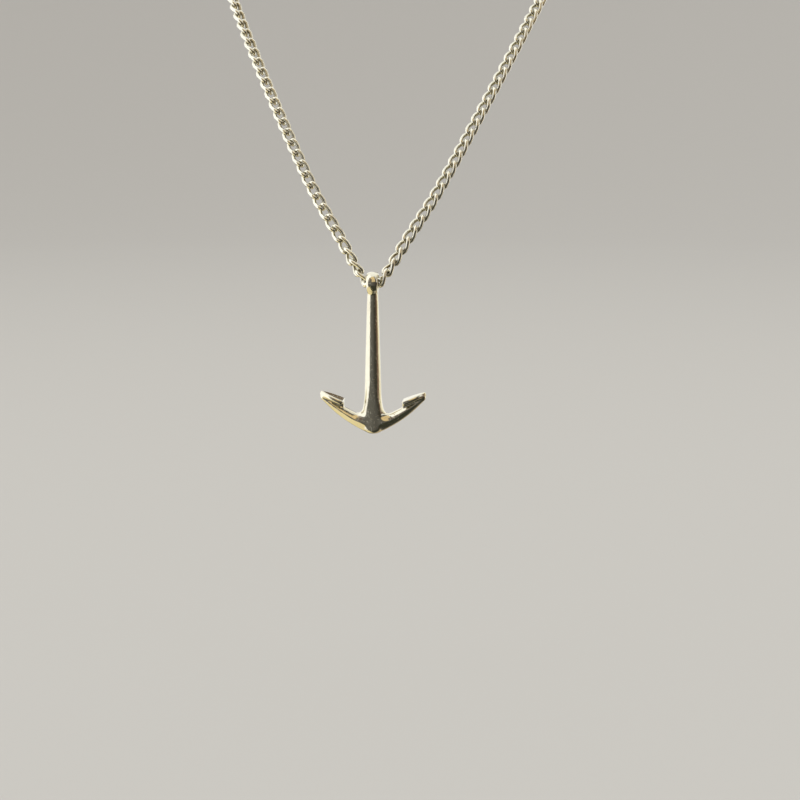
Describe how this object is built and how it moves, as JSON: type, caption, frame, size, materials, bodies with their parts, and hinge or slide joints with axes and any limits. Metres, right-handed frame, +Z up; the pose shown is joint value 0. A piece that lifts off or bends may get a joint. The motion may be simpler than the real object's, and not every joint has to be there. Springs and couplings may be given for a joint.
{
  "type": "anchor pendant necklace",
  "caption": "Curb chain necklace closed as the loop it forms when worn, with a cast anchor pendant that swings on the chain by its tubular bail.",
  "frame": {"origin": "nape of the worn loop: the middle of the clasp's inner side", "axes": "+Z up, the front faces -Y, +X to the right of someone looking at the front"},
  "size_m": [0.132, 0.1612, 0.166],
  "materials": {
    "anchor_steel": "polished, fine scratches",
    "chain_steel": "polished, fine scratches"
  },
  "bodies": {
    "necklace": {"chain_left": "chain_steel", "chain_right": "chain_steel", "clasp": "chain_steel"},
    "pendant": {"anchor": "anchor_steel"}
  },
  "joints": [
    {"name": "pendant_swing", "type": "hinge", "parent": "necklace", "child": "pendant", "pos_m": [0, -0.15528, -0.122], "axis": [1, 0, 0], "range_deg": [-90, 90]}
  ]
}
